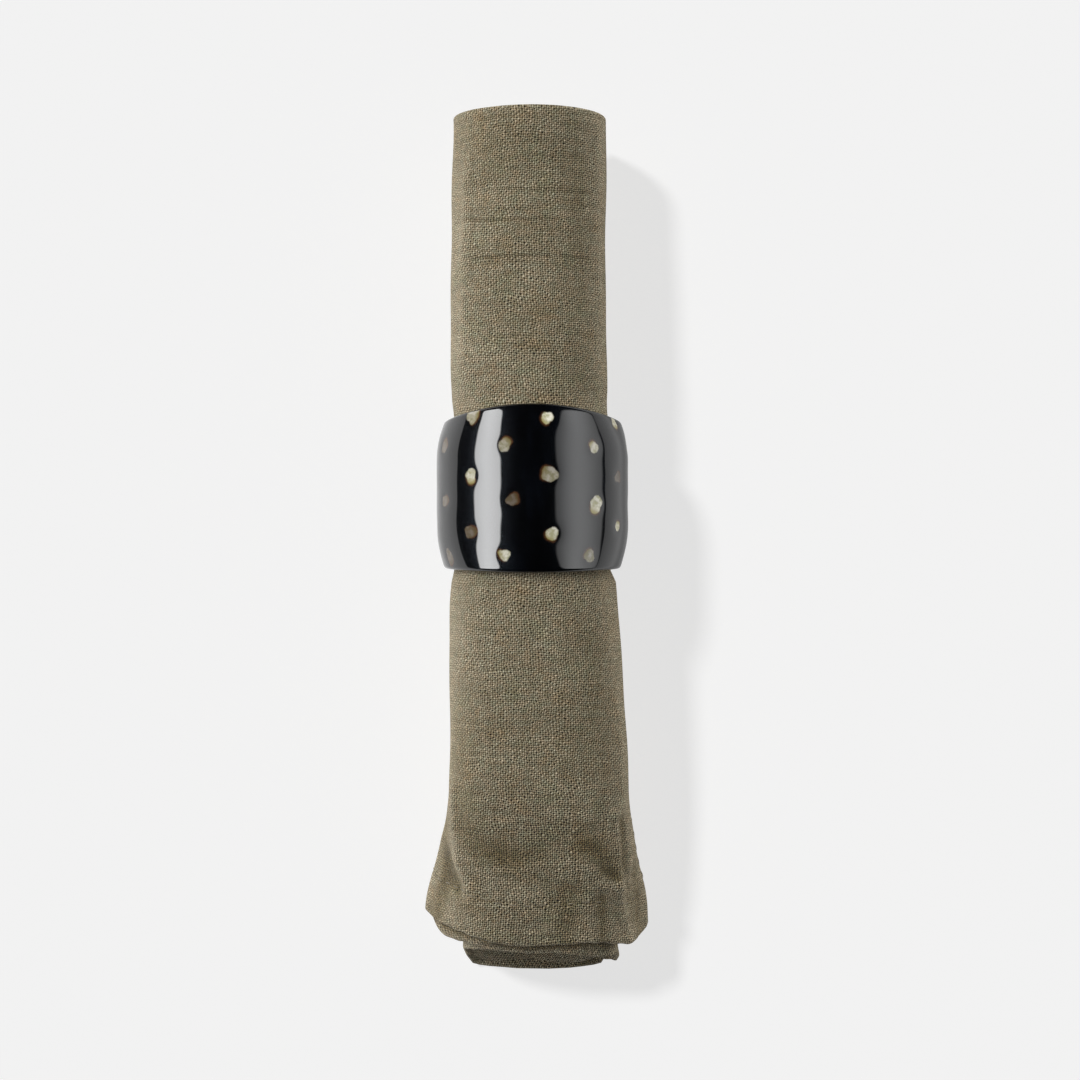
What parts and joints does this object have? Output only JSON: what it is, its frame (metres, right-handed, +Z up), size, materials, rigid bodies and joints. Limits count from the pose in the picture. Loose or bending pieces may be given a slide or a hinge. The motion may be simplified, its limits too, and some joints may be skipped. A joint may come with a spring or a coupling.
{
  "type": "linen napkin and napkin ring",
  "caption": "Linen table napkin folded in half and rolled into a tube, its hems spreading at one end, held in a polished barrel-shaped ring of dark horn.",
  "frame": {"origin": "on the table, under the middle of the whole thing", "axes": "+Z up, +Y along the roll towards the napkin's folded end, +X to the right when looking down with the folded end away"},
  "size_m": [0.0583, 0.224, 0.0494],
  "materials": {
    "linen": "matt plain weave",
    "horn": "polished, black with pale flecks"
  },
  "bodies": {
    "root": {"napkin": "linen", "napkin_ring": "horn"}
  },
  "joints": []
}
